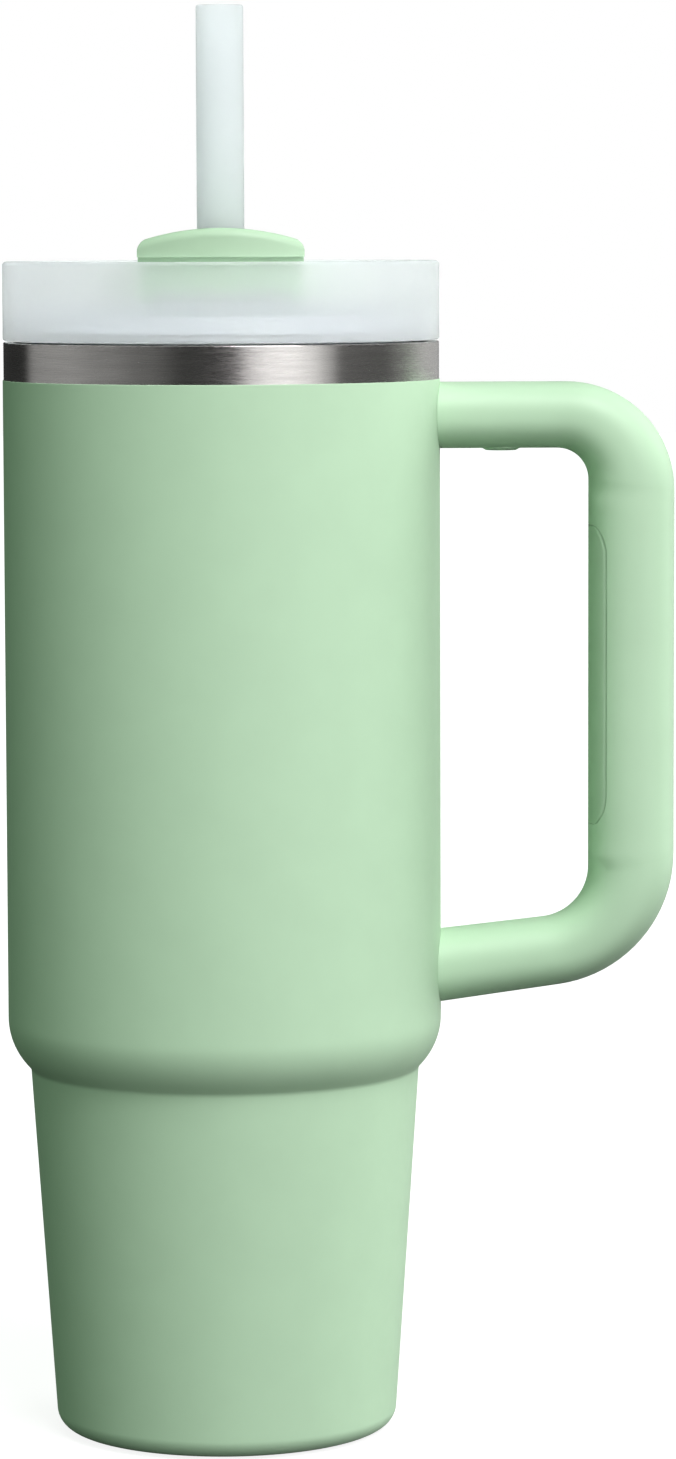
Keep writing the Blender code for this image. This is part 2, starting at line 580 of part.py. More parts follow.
def build_cover(finishes):
    cover = add_object("rotary_cover", cover_blank(), finishes["coat_plastic"])
    inset = COVER_STEP + COVER_WALL
    cavity = prism("cover_cavity", plan_outline(COVER_HALF - inset, COVER_END_R - inset),
                   COVER_BOTTOM_Z - 4, COVER_CEILING_Z, helper=True)
    slot_wall = prism("cover_slot_wall", straw_slot(COVER_WALL), COVER_BOTTOM_Z - 6, COVER_CEILING_Z + 4,
                      helper=True)
    boss = turned("cover_boss", [(0, COVER_BOTTOM_Z - 6), (BOSS_R, COVER_BOTTOM_Z - 6),
                                 (BOSS_R, COVER_CEILING_Z + 4), (0, COVER_CEILING_Z + 4)],
                  helper=True, segments=24)
    combine(cavity, slot_wall, "DIFFERENCE")
    combine(cavity, boss, "DIFFERENCE")
    slot = prism("cover_slot", straw_slot(0.0), COVER_BOTTOM_Z - 2, COVER_TOP_Z + 4, helper=True)
    under = DECK_Z - DECK_T
    stem = turned("cover_stem", [(0, under - 5.0), (STEM_R + 0.7, under - 5.0), (STEM_R + 1.5, under - 4.2),
                                 (STEM_R + 1.5, under - 3.5), (STEM_R, under - 3.1), (STEM_R, under + 0.3),
                                 (STEM_R - 1.4, under + 0.3), (STEM_R - 1.4, under + 1.9),
                                 (STEM_R, under + 1.9), (STEM_R, COVER_BOTTOM_Z + 2),
                                 (0, COVER_BOTTOM_Z + 2)], helper=True, segments=24)
    combine(cover, cavity, "DIFFERENCE")
    combine(cover, slot, "DIFFERENCE")
    combine(cover, stem, "UNION")

    seal = prism("cover_seal", plan_outline(COVER_HALF - inset - 0.35, COVER_END_R - inset - 0.35),
                 COVER_BOTTOM_Z, COVER_BOTTOM_Z + SEAL_T, finishes["silicone"])
    seal_slot = prism("seal_slot", straw_slot(COVER_WALL + 0.35), COVER_BOTTOM_Z - 2, COVER_BOTTOM_Z + 4,
                      helper=True)
    seal_hole = turned("seal_hole", [(0, COVER_BOTTOM_Z - 2), (BOSS_R + 0.35, COVER_BOTTOM_Z - 2),
                                     (BOSS_R + 0.35, COVER_BOTTOM_Z + 4), (0, COVER_BOTTOM_Z + 4)],
                       helper=True, segments=24)
    combine(seal, seal_slot, "DIFFERENCE")
    combine(seal, seal_hole, "DIFFERENCE")

    ring_z = under + 1.1
    turned("stem_o_ring", arc((STEM_R - 0.5, ring_z), 0.55, 0, math.tau * 7 / 8, 8),
           finishes["silicone"], segments=24)
    turned("cover_retainer", [(STEM_R + 0.4, under - 2.8), (STEM_R + 4.2, under - 2.8),
                              (STEM_R + 5.0, under - 2.0), (STEM_R + 5.0, under - GAP),
                              (STEM_R + 0.4, under - GAP)], finishes["frosted"], segments=24)


def build_straw(finishes):
    lip = 0.3
    turned("straw", [(STRAW_BORE_R, STRAW_BOTTOM_Z), (STRAW_R, STRAW_BOTTOM_Z),
                     (STRAW_R, STRAW_TOP_Z - lip), (STRAW_R - lip, STRAW_TOP_Z),
                     (STRAW_BORE_R + lip, STRAW_TOP_Z), (STRAW_BORE_R, STRAW_TOP_Z - lip)],
           finishes["straw"], segments=16, at=(0, STRAW_Y))


def main():
    for obj in list(bpy.data.objects):
        bpy.data.objects.remove(obj, do_unlink=True)
    finishes = {
        "coat": material("sage_powder_coat", (0.46, 0.69, 0.46), 0.5),
        "coat_plastic": material("sage_moulding", (0.47, 0.71, 0.47), 0.42),
        "grip": material("sage_handle", (0.49, 0.72, 0.49), 0.45),
        "grip_soft": material("sage_soft_grip", (0.46, 0.69, 0.46), 0.6),
        "steel": material("brushed_steel", (0.62, 0.61, 0.59), 0.3, 1.0),
        "frosted": material("frosted_plastic", (0.82, 0.87, 0.88), 0.35, 0.0, 0.85),
        "straw": material("frosted_straw", (0.82, 0.88, 0.88), 0.35, 0.0, 0.85),
        "silicone": material("clear_silicone", (0.78, 0.82, 0.82), 0.5),
        "glass": material("seal_glass", (0.35, 0.32, 0.28), 0.2),
        "getter": material("getter_alloy", (0.32, 0.32, 0.33), 0.7, 1.0),
    }
    build_vessel(finishes)
    build_handle(finishes)
    build_lid(finishes)
    build_cover(finishes)
    build_straw(finishes)


main()
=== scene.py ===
"""Looks of the insulated travel mug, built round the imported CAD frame.

Lengths are in millimetres, and MM turns them into the frame's metres. The lights and the reach of
the floor's glow are in metres.
"""

import math

import bmesh
import bpy
import numpy as np
from mathutils import Matrix, Vector


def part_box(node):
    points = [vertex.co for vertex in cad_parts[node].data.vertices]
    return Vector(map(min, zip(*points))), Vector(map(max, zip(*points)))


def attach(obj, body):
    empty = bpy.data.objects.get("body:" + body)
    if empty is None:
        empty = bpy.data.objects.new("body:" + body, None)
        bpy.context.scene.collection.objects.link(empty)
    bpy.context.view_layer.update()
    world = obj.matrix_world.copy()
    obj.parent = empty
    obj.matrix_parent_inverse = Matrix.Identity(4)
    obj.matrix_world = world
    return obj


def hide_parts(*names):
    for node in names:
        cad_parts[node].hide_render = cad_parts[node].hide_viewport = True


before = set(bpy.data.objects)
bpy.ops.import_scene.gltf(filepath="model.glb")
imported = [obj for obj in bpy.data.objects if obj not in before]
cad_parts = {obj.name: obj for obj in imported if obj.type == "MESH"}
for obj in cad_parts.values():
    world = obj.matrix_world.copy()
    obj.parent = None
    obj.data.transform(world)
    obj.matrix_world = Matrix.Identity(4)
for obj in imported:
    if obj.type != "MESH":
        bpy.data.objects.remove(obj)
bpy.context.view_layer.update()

MM = 0.001
ROUND = 192                      # facets round a large turned piece
SMALL_ROUND = 64                 # facets round a small one


def box_mm(node):
    """Lowest and highest corner of a CAD node in millimetres."""
    low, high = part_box(node)
    return low / MM, high / MM


# ---------------------------------------------------------------- driving dimensions

_, shell_high = box_mm("outer_shell")
lid_low, lid_high = box_mm("lid_body")
straw_low, straw_high = box_mm("straw")
_, cover_high = box_mm("rotary_cover")
_, handle_high = box_mm("handle_frame")
_, cap_high = box_mm("base_cap")
gasket_low, gasket_high = box_mm("lid_gasket")

BODY_R = shell_high.x
RIM_Z = shell_high.z
COAT = 0.2                       # thickness of the powder coat
COAT_TOP_Z = RIM_Z - 8.3
WALL = 0.5
SKIN_GAP = 0.02                  # keeps two surfaces that meet from lying in one plane
LINER_R = BODY_R - 4.4
STEP_TOP_Z = 92.9
STEP_ARC_R = 15.1
STEP_ANGLE = math.radians(41)
KINK_ARC_R = 1.8
TAPER_BASE_R = 37.88
TAPER_SLOPE = 0.068
BASE_ARC_R = 4.5
FOOT_IN_R = 30.6
FLOOR_Z = 9.6                    # the drink's floor
FLOOR_ARC_R = 6.0
DISH_DEPTH, DISH_MARGIN = 0.35, 9.0  # hollow in the middle of the foot

THREAD_STARTS = 3
THREAD_PHASE = 0.0125            # turns
THREAD_LEAD = 15.0
THREAD_SPAN = math.radians(106)
THREAD_Z = RIM_Z - 10.6          # start of the liner's ribs
THREAD_DROP = 2.05               # the lid's ribs run this far below them
LINER_CREST_R, LID_CREST_R = 42.5, 43.4
RIB_ROOT, RIB_CREST = 1.1, 0.7   # half of a rib's height at its root and at its crest
RIB_EDGE_R = 0.35
RIB_RUN = 0.08                   # share of a rib that runs in, and out

LID_R = lid_high.x
LID_TOP_Z = lid_high.z
BAND_LOW_Z = RIM_Z + 0.4
BAND_WALL = 2.25
PLUG_R = 42.1
PLUG_WALL = 2.3
PLUG_LOW_Z = lid_low.z
DECK_Z = RIM_Z + 9.2
DECK_T = 2.2
SEAT_Z = RIM_Z + 2.3
TROUGH_Z = RIM_Z + 5.4
STRAW_HOLE_ROOM, STRAW_HOLE_TOP_ROOM = 1.4, 2.0
STEM_HOLE_R, STEM_HOLE_TOP_R = 6.5, 7.2
DRINK_IN_R, DRINK_OUT_R = 32.6, 39.2
DRINK_HALF = math.radians(17)
DRINK_CORNER_R, DRINK_CHAMFER = 1.6, 0.6

STRAW_Y = (straw_low.y + straw_high.y) / 2
STRAW_R = straw_high.x
STRAW_BORE_R = STRAW_R - 1.0

COVER_HALF = cover_high.x
COVER_END_R = cover_high.y
COVER_TOP_Z = cover_high.z
COVER_LOW_Z = DECK_Z + 0.4
COVER_ARCH_R = 56.0
COVER_EDGE_R = 2.0
COVER_STEP_Z = 262.0
NECK_INSET, NECK_SIDE_INSET = 3.6, 0.1
SLOT_ROOM = 0.75                 # free space round the straw in the cover's slot
SLOT_MOUTH = math.radians(-168)

# ---------------------------------------------------------------- mesh helpers


def fillet(corners, segments=8):
    """Closed outline from (x, y) or (x, y, radius) corners, each radius made into an arc."""
    points = []
    count = len(corners)
    for i, corner in enumerate(corners):
        here = np.array(corner[:2], float)
        radius = corner[2] if len(corner) > 2 else 0.0
        if radius <= 0:
            points.append(tuple(here))
            continue
        before = np.array(corners[i - 1][:2], float) - here
        after = np.array(corners[(i + 1) % count][:2], float) - here
        before /= np.linalg.norm(before)
        after /= np.linalg.norm(after)
        half = math.acos(max(-1.0, min(1.0, float(before @ after)))) / 2
        middle = (before + after) / np.linalg.norm(before + after)
        centre = here + middle * radius / math.sin(half)
        start = here + before * radius / math.tan(half) - centre
        stop = here + after * radius / math.tan(half) - centre
        a0 = math.atan2(start[1], start[0])
        turn = (math.atan2(stop[1], stop[0]) - a0 + math.pi) % math.tau - math.pi
        for k in range(segments + 1):
            a = a0 + turn * k / segments
            points.append((centre[0] + radius * math.cos(a), centre[1] + radius * math.sin(a)))
    return points


def offset_line(corners, distance):
    """An open line of corners moved sideways, to the left of its direction, by distance."""
    points = [np.array(c[:2], float) for c in corners]
    lines = []
    for a, b in zip(points, points[1:]):
        along = (b - a) / np.linalg.norm(b - a)
        normal = np.array([-along[1], along[0]])
        lines.append((a + normal * distance, along))
    moved = [lines[0][0]]
    for (p, u), (q, v) in zip(lines, lines[1:]):
        s = np.linalg.solve(np.array([u, -v]).T, q - p)[0]
        moved.append(p + u * s)
    moved.append(points[-1] + np.array([-lines[-1][1][1], lines[-1][1][0]]) * distance)
    return [tuple(p) for p in moved]


def new_object(name, verts, faces, sharp=30.0):
    mesh = bpy.data.meshes.new(name)
    mesh.from_pydata([Vector(v) * MM for v in verts], [], faces)
    mesh.update()
    obj = bpy.data.objects.new(name, mesh)
    bpy.context.scene.collection.objects.link(obj)
    tidy_normals(obj, sharp)
    return obj


def tidy_normals(obj, sharp=30.0):
    work = bmesh.new()
    work.from_mesh(obj.data)
    bmesh.ops.remove_doubles(work, verts=work.verts, dist=1e-7)
    bmesh.ops.recalc_face_normals(work, faces=work.faces)
    work.to_mesh(obj.data)
    work.free()
    obj.data.shade_smooth()
    obj.data.set_sharp_from_angle(angle=math.radians(sharp))


def lathe(name, outline, segments=ROUND, at=(0.0, 0.0)):
    """A closed (radius, height) outline turned about the vertical line through at."""
    verts, faces, rings = [], [], []
    for r, z in outline:
        if r < 1e-6:
            rings.append([len(verts)] * segments)
            verts.append((at[0], at[1], z))
            continue
        rings.append(list(range(len(verts), len(verts) + segments)))
        verts += [(at[0] + r * math.cos(math.tau * k / segments),
                   at[1] + r * math.sin(math.tau * k / segments), z) for k in range(segments)]
    for i, ring in enumerate(rings):
        following = rings[(i + 1) % len(rings)]
        if ring[0] == ring[-1] and following[0] == following[-1]:
            continue
        for k in range(segments):
            n = (k + 1) % segments
            corners = dict.fromkeys((ring[k], ring[n], following[n], following[k]))
            if len(corners) > 2:
                faces.append(tuple(corners))
    return new_object(name, verts, faces)


def loft(name, rings, sharp=30.0):
    """Closed rings of points joined in order, with the two ends closed by flat faces."""
    count = len(rings[0])
    verts = [p for ring in rings for p in ring]
    faces = []
    for i in range(len(rings) - 1):
        for k in range(count):
            n = (k + 1) % count
            faces.append((i * count + k, i * count + n, (i + 1) * count + n, (i + 1) * count + k))
    faces.append(tuple(range(count)))
    last = (len(rings) - 1) * count
    faces.append(tuple(range(last + count - 1, last - 1, -1)))
    return new_object(name, verts, faces, sharp)


def cut(obj, cutters):
    """Cuts helper solids away, then removes them."""
    for cutter in cutters:
        step = obj.modifiers.new("cut", "BOOLEAN")
        step.operation = "DIFFERENCE"
        step.solver = "EXACT"
        step.object = cutter
        bpy.context.view_layer.update()
        result = obj.evaluated_get(bpy.context.evaluated_depsgraph_get())
        made = bpy.data.meshes.new_from_object(result)
        obj.modifiers.remove(step)
        obj.data = made
        bpy.data.objects.remove(cutter, do_unlink=True)
    tidy_normals(obj)


def place(piece, body, slot, material, *nodes):
    """Dresses a piece, sets the body it rides on and hides the CAD nodes it stands for."""
    piece.data.materials.clear()
    piece.data.materials.append(material)
    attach(piece, body)
    if nodes:
        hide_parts(*nodes)


# ---------------------------------------------------------------- materials


class Nodes:
    """Short names for building one material's node tree."""

    def __init__(self, name):
        self.material = bpy.data.materials.new(name)
        self.material.use_nodes = True
        self.tree = self.material.node_tree
        self.shader = self.tree.nodes["Principled BSDF"]
        self.place = self.tree.nodes.new("ShaderNodeTexCoord").outputs["Object"]

    def put(self, **values):
        for name, value in values.items():
            socket = self.shader.inputs[name.replace("_", " ")]
            socket.default_value = (*value, 1.0) if isinstance(value, tuple) else value
        return self

    def link(self, output, target):
        self.tree.links.new(output, target)
        return output

    def noise(self, scale, detail=2.0, roughness=0.5, vector=None):
        node = self.tree.nodes.new("ShaderNodeTexNoise")
        node.inputs["Scale"].default_value = scale
        node.inputs["Detail"].default_value = detail
        node.inputs["Roughness"].default_value = roughness
        self.link(vector or self.place, node.inputs["Vector"])
        return node.outputs["Fac"]

    def math(self, operation, a, b=0.0):
        node = self.tree.nodes.new("ShaderNodeMath")
        node.operation = operation
        for socket, value in zip(node.inputs, (a, b)):
            if isinstance(value, (int, float)):
                socket.default_value = value
            else:
                self.link(value, socket)
        return node.outputs[0]

    def spread(self, source, low, high, source_low=0.3, source_high=0.7):
        """Maps a value onto a range, by default the middle of a noise's own."""
        node = self.tree.nodes.new("ShaderNodeMapRange")
        self.link(source, node.inputs["Value"])
        node.inputs["From Min"].default_value = source_low
        node.inputs["From Max"].default_value = source_high
        node.inputs["To Min"].default_value = low
        node.inputs["To Max"].default_value = high
        return node.outputs["Result"]

    def blend(self, factor, first, second):
        node = self.tree.nodes.new("ShaderNodeMix")
        node.data_type = "RGBA"
        self.link(factor, node.inputs["Factor"])
        colours = [s for s in node.inputs if s.type == "RGBA"]
        colours[0].default_value = (*first, 1.0)
        colours[1].default_value = (*second, 1.0)
        return next(s for s in node.outputs if s.type == "RGBA")

    def colour(self, source):
        self.link(source, self.shader.inputs["Base Color"])
        return self

    def rough(self, source):
        self.link(source, self.shader.inputs["Roughness"])
        return self

    def bump(self, height, strength, distance_mm):
        node = self.tree.nodes.new("ShaderNodeBump")
        node.inputs["Strength"].default_value = strength
        node.inputs["Distance"].default_value = distance_mm * MM
        self.link(height, node.inputs["Height"])
        self.link(node.outputs["Normal"], self.shader.inputs["Normal"])
        return self

    def round_place(self, along, across):
        """Coordinates that run round the vertical axis: stretched along the turn, fine up and down."""
        split = self.tree.nodes.new("ShaderNodeSeparateXYZ")
        self.link(self.place, split.inputs[0])
        angle = self.math("ARCTAN2", split.outputs["Y"], split.outputs["X"])
        radius = self.math("SQRT", self.math("ADD", self.math("POWER", split.outputs["X"], 2.0),
                                             self.math("POWER", split.outputs["Y"], 2.0)))
        join = self.tree.nodes.new("ShaderNodeCombineXYZ")
        self.link(self.math("MULTIPLY", angle, along), join.inputs["X"])
        self.link(self.math("MULTIPLY", split.outputs["Z"], across), join.inputs["Y"])
        self.link(self.math("MULTIPLY", radius, across), join.inputs["Z"])
        return join.outputs[0]


def tinted(colour, factor):
    return tuple(c * factor for c in colour)


SAGE = (0.505, 0.705, 0.50)
SAGE_COVER = tinted(SAGE, 0.93)
# Darker sage of the soft grip pad and the screw plugs: painted shade for the handle's inner face, which
# faces away from the lights; the real pad is moulded in the body's own sage
SAGE_PAINTED_SHADE = (0.425, 0.60, 0.42)
STEEL = (0.62, 0.605, 0.585)
FROST = (0.88, 0.92, 0.945)
FROST_CLEAR = (0.97, 0.985, 1.0)
FROST_STRAW = (0.925, 0.955, 0.965)
SILICONE = (0.80, 0.84, 0.84)
SEAL_GLASS = (0.35, 0.32, 0.28)
GETTER = (0.32, 0.32, 0.33)


def powder_coat():
    m = Nodes("sage_powder_coat").put(Specular_IOR_Level=0.32)
    m.colour(m.blend(m.spread(m.noise(90, 3), 0.0, 1.0), tinted(SAGE, 0.985), tinted(SAGE, 1.015)))
    m.rough(m.spread(m.noise(420, 3), 0.5, 0.62))
    m.bump(m.noise(1500, 3, 0.6), 0.22, 0.03)
    return m.material


def moulded(name, colour, rough_low, rough_high, grain):
    m = Nodes(name).put(Specular_IOR_Level=0.4)
    m.colour(m.blend(m.spread(m.noise(60, 2), 0.0, 1.0), tinted(colour, 0.985), tinted(colour, 1.015)))
    m.rough(m.spread(m.noise(260, 3), rough_low, rough_high))
    m.bump(m.noise(2600, 2), grain, 0.02)
    return m.material


def brushed_steel(name, strength, rough_low=0.2, rough_high=0.33):
    m = Nodes(name).put(Metallic=1.0, Anisotropic=0.85, Anisotropic_Rotation=0.25)
    lines = m.noise(1.0, 4, 0.65, m.round_place(9.0, 5200.0))
    streaks = m.noise(1.0, 3, 0.6, m.round_place(3.0, 900.0))
    m.colour(m.blend(m.spread(streaks, 0.0, 1.0), tinted(STEEL, 0.92), tinted(STEEL, 1.08)))
    m.rough(m.spread(lines, rough_low, rough_high))
    m.bump(lines, strength, 0.008)
    tangent = m.tree.nodes.new("ShaderNodeTangent")
    tangent.direction_type = "RADIAL"
    tangent.axis = "Z"
    m.link(tangent.outputs[0], m.shader.inputs["Tangent"])
    return m.material


def frosted(name, colour, transmission, rough_low, rough_high):
    m = Nodes(name).put(Transmission_Weight=transmission, IOR=1.46)
    m.colour(m.blend(m.spread(m.noise(70, 2), 0.0, 1.0), tinted(colour, 0.985), tinted(colour, 1.01)))
    m.rough(m.spread(m.noise(500, 2), rough_low, rough_high))
    m.bump(m.noise(2400, 2), 0.12, 0.02)
    return m.material


def plain(name, colour, rough_low, rough_high, metallic=0.0):
    m = Nodes(name).put(Metallic=metallic)
    m.colour(m.blend(m.spread(m.noise(300, 3), 0.0, 1.0), tinted(colour, 0.94), tinted(colour, 1.06)))
    m.rough(m.spread(m.noise(700, 3), rough_low, rough_high))
    m.bump(m.noise(1800, 3), 0.15, 0.03)
    return m.material


COAT_FINISH = powder_coat()
HANDLE_FINISH = moulded("sage_handle", SAGE, 0.42, 0.52, 0.10)
# The soft grip's own rougher, grainier finish, coloured with the darker sage that is painted shade
SOFT_FINISH_PAINTED_SHADE = moulded("sage_soft_grip", SAGE_PAINTED_SHADE, 0.6, 0.72, 0.25)
COVER_FINISH = moulded("sage_cover", SAGE_COVER, 0.44, 0.54, 0.10)
BAND_STEEL = brushed_steel("turned_steel", 0.5)
LINER_STEEL = brushed_steel("liner_steel", 0.3, 0.24, 0.38)
BAND_FINISH = frosted("frosted_band", FROST_CLEAR, 0.86, 0.6, 0.7)
LID_FINISH = frosted("frosted_lid", FROST, 0.12, 0.45, 0.58)
STRAW_FINISH = frosted("frosted_straw", FROST_STRAW, 0.84, 0.58, 0.68)
SILICONE_FINISH = frosted("clear_silicone", SILICONE, 0.25, 0.5, 0.62)
GLASS_FINISH = plain("seal_glass", SEAL_GLASS, 0.15, 0.25)
GETTER_FINISH = plain("getter_alloy", GETTER, 0.6, 0.8, 1.0)

# ---------------------------------------------------------------- vessel

tilt = math.atan(TAPER_SLOPE)
corner_z = STEP_TOP_Z - STEP_ARC_R * math.tan(STEP_ANGLE / 2)
kink_z = ((BODY_R - corner_z * math.tan(STEP_ANGLE) - TAPER_BASE_R)
          / (TAPER_SLOPE - math.tan(STEP_ANGLE)))
SIDE = [(FOOT_IN_R, 0.0), (TAPER_BASE_R, 0.0), (TAPER_BASE_R + TAPER_SLOPE * kink_z, kink_z),
        (BODY_R, corner_z), (BODY_R, RIM_Z)]


def side_line(inset, top_z, radii):
    """Corners of the vessel's side moved in by inset, with their fillet radii, up to a height."""
    moved = offset_line(SIDE, inset)
    line = [(r, z, radius) for (r, z), radius in zip(moved, radii)]
    line[-1] = (moved[-1][0], top_z, radii[-1])
    return line


def helix_rib(root_r, crest_r, start_z, start_angle, name, steps=72):
    """One thread rib on a right-hand helix, run in and out at its ends."""
    rings = []
    for i in range(steps + 1):
        t = i / steps
        grow = min(1.0, min(t, 1 - t) / RIB_RUN)
        grow = grow * grow * (3 - 2 * grow)
        angle = start_angle + THREAD_SPAN * t
        z = start_z + THREAD_LEAD * THREAD_SPAN * t / math.tau
        reach = root_r + (crest_r - root_r) * (0.25 + 0.75 * grow)
        profile = fillet([(root_r, -RIB_ROOT), (reach, -RIB_CREST, RIB_EDGE_R),
                          (reach, RIB_CREST, RIB_EDGE_R), (root_r, RIB_ROOT)], 3)
        rings.append([(r * math.cos(angle), r * math.sin(angle), z + dz) for r, dz in profile])
    return loft(name, rings)


def joined(pieces, name):
    """Several objects made into one."""
    with bpy.context.temp_override(active_object=pieces[0], selected_editable_objects=pieces):
        bpy.ops.object.join()
    pieces[0].name = name
    return pieces[0]


def threads(name, root_r, crest_r, start_z):
    ribs = [helix_rib(root_r, crest_r, start_z, math.tau * (k / THREAD_STARTS + THREAD_PHASE), f"rib_{k}")
            for k in range(THREAD_STARTS)]
    return joined(ribs, name)


def vessel():
    outer = side_line(0.0, COAT_TOP_Z, (0, BASE_ARC_R, KINK_ARC_R, STEP_ARC_R, 0.16))
    inner = side_line(COAT - SKIN_GAP, COAT_TOP_Z, (0, BASE_ARC_R - COAT, KINK_ARC_R + COAT,
                                                    STEP_ARC_R - COAT, 0))
    coat = lathe("coated_wall", fillet(outer + inner[::-1], 12))
    place(coat, "cup", "powder_coat", COAT_FINISH, "outer_shell")

    outer = side_line(COAT, RIM_Z, (0, BASE_ARC_R - COAT, KINK_ARC_R + COAT, STEP_ARC_R - COAT, 0.22))
    inner = side_line(WALL, RIM_Z, (0, BASE_ARC_R - WALL, KINK_ARC_R + WALL, STEP_ARC_R - WALL, 0))
    shell = lathe("steel_wall", fillet(outer + inner[::-1], 12))
    place(shell, "cup", "steel", BAND_STEEL, "outer_shell")

    inset = BODY_R - LINER_R
    inner = side_line(inset, RIM_Z, (0, FLOOR_ARC_R, KINK_ARC_R + inset, STEP_ARC_R - inset, 0.8))
    inner[0] = (0.0, FLOOR_Z, 0)
    inner[1] = (TAPER_BASE_R + TAPER_SLOPE * FLOOR_Z - inset / math.cos(tilt), FLOOR_Z, FLOOR_ARC_R)
    outer = side_line(inset - WALL, RIM_Z - 1.6, (0, FLOOR_ARC_R + WALL, KINK_ARC_R + inset - WALL,
                                                  STEP_ARC_R - inset + WALL, 0.6))
    outer[0] = (0.0, FLOOR_Z - WALL, 0)
    outer[1] = (TAPER_BASE_R + TAPER_SLOPE * (FLOOR_Z - WALL) - (inset - WALL) / math.cos(tilt),
                FLOOR_Z - WALL, FLOOR_ARC_R + WALL)
    lip_r = BODY_R - WALL - 0.05
    lip = [(lip_r, RIM_Z, 0.2), (lip_r, RIM_Z - 0.7, 0.2),
           (outer[-1][0] + 1.0, RIM_Z - 0.9, 0.4)]
    liner = lathe("polished_liner", fillet(inner + lip + outer[::-1], 10))
    place(liner, "cup", "steel", LINER_STEEL, "inner_liner")
    ribs = threads("liner_thread", LINER_R + 0.3, LINER_CREST_R, THREAD_Z)
    place(ribs, "cup", "steel", LINER_STEEL, "inner_liner")

    rim_r = cap_high.x
    outline = [(0, DISH_DEPTH), (rim_r - DISH_MARGIN, DISH_DEPTH, 0.8),
               (rim_r - DISH_MARGIN + 1.5, 0.0, 0.8), (rim_r, 0.0, 0.25),
               (rim_r, cap_high.z, 0.1), (0, cap_high.z)]
    disc = lathe("foot_disc", fillet(outline, 5))
    place(disc, "cup", "steel", BAND_STEEL, "base_cap")


# ---------------------------------------------------------------- handle

OUT_X = handle_high.x
IN_X = OUT_X - 19.0              # the grip's inner edge
ARM_TOP_Z = handle_high.z
ARM_LOW_Z = ARM_TOP_Z - 14.7
OUT_TOP_R, IN_TOP_R = 24.0, 7.1
OUT_LOW_R, IN_LOW_R = 29.8, 11.4
LOW_OUT_Z, LOW_IN_Z = 95.8, 111.9
LOW_OUT_ANGLE, LOW_IN_ANGLE = math.radians(8.0), math.radians(6.3)
ARM_HALF_WIDTH, GRIP_HALF_WIDTH = 10.0, 11.4
ROOT_GAP = 0.05                  # between an arm's end and the body
SQUARENESS = 2 / 2.4             # exponent that rounds the section
ARM_STEPS, BEND_STEPS = 12, 20
LOOP_POINTS, PAD_POINTS, PAD_BACK_POINTS = 73, 33, 17
PAD_HALF = math.radians(54)      # half of the soft pad's reach round the section
PAD_END = 9.3                    # the pad starts and stops this far past the bends
PAD_CORNER = 6.0
PAD_DEPTH = 1.2
PAD_EDGE = [0.25, 0.06]          # how far the pad's rounded edge falls at its last two points
PAD_GAP = 0.05
SEAM = 0.22                      # open line between the frame and the pad


def handle_edge(top_z, x, top_r, low_r, low_z, low_angle):
    """One edge of the handle in the XZ plane: upper arm, bend, grip, bend and lower arm."""
    reach = low_r * math.tan((math.pi / 2 - low_angle) / 2)
    corner = low_z + (x - BODY_R) * math.tan(low_angle)
    low_centre = np.array([x - low_r, corner + reach])
    low_end = np.array([x - reach * math.cos(low_angle), corner - reach * math.sin(low_angle)])
    top_centre = np.array([x - top_r, top_z - top_r])

    def bend(centre, radius, start, stop):
        return [tuple(centre + radius * np.array([math.cos(a), math.sin(a)]))
                for a in np.linspace(start, stop, BEND_STEPS + 1)]

    points = [(BODY_R + (top_centre[0] - BODY_R) * k / ARM_STEPS, top_z) for k in range(ARM_STEPS)]
    points += bend(top_centre, top_r, math.pi / 2, 0)
    points += [(x, top_centre[1] + (low_centre[1] - top_centre[1]) * u) for u in grip_stations()]
    points += bend(low_centre, low_r, 0, low_angle - math.pi / 2)
    root = np.array([BODY_R, low_end[1] - (low_end[0] - BODY_R) * math.tan(low_angle)])
    points += [tuple(low_end + (root - low_end) * k / ARM_STEPS) for k in range(1, ARM_STEPS + 1)]
    return np.array(points)


def grip_length():
    """Length of the grip's straight stretch along its outer edge."""
    reach = OUT_LOW_R * math.tan((math.pi / 2 - LOW_OUT_ANGLE) / 2)
    low = LOW_OUT_Z + (OUT_X - BODY_R) * math.tan(LOW_OUT_ANGLE) + reach
    return ARM_TOP_Z - OUT_TOP_R - low


def grip_stations():
    """Fractions down the straight grip, closer together at the rounded ends of the pad."""
    end = PAD_END / grip_length()
    corner = PAD_CORNER / grip_length()
    fine = [end + corner * (1 - math.cos(math.pi / 2 * k / 8)) for k in range(9)]
    even = [end + corner + (1 - 2 * end - 2 * corner) * k / 20 for k in range(1, 20)]
    return ([end / 3, end * 2 / 3] + [fine[0]] + fine + even + [1 - u for u in reversed(fine)]
            + [1 - fine[0]] + [1 - end * 2 / 3, 1 - end / 3])


def pad_reach(u):
    """Half angle that the pad covers at a fraction down the grip, drawn in round its corners."""
    inside = min(u, 1 - u) * grip_length() - PAD_END
    short = max(0.0, PAD_CORNER - inside)
    pull = PAD_CORNER - math.sqrt(max(0.0, PAD_CORNER ** 2 - short ** 2))
    return PAD_HALF * (1 - pull / (GRIP_HALF_WIDTH - 0.5))


def section(outer, inner, half_width, angle, depth=0.0):
    """Point on the handle's rounded section, sunk by depth. Angle 0 is the outer edge."""
    middle, reach = (outer + inner) / 2, (outer - inner) / 2
    across = math.copysign(abs(math.cos(angle)) ** SQUARENESS, math.cos(angle))
    along = math.copysign(abs(math.sin(angle)) ** SQUARENESS, math.sin(angle))
    x, z = middle + reach * across * (1 - depth / np.linalg.norm(reach))
    return float(x), half_width * along * (1 - depth / half_width), float(z)


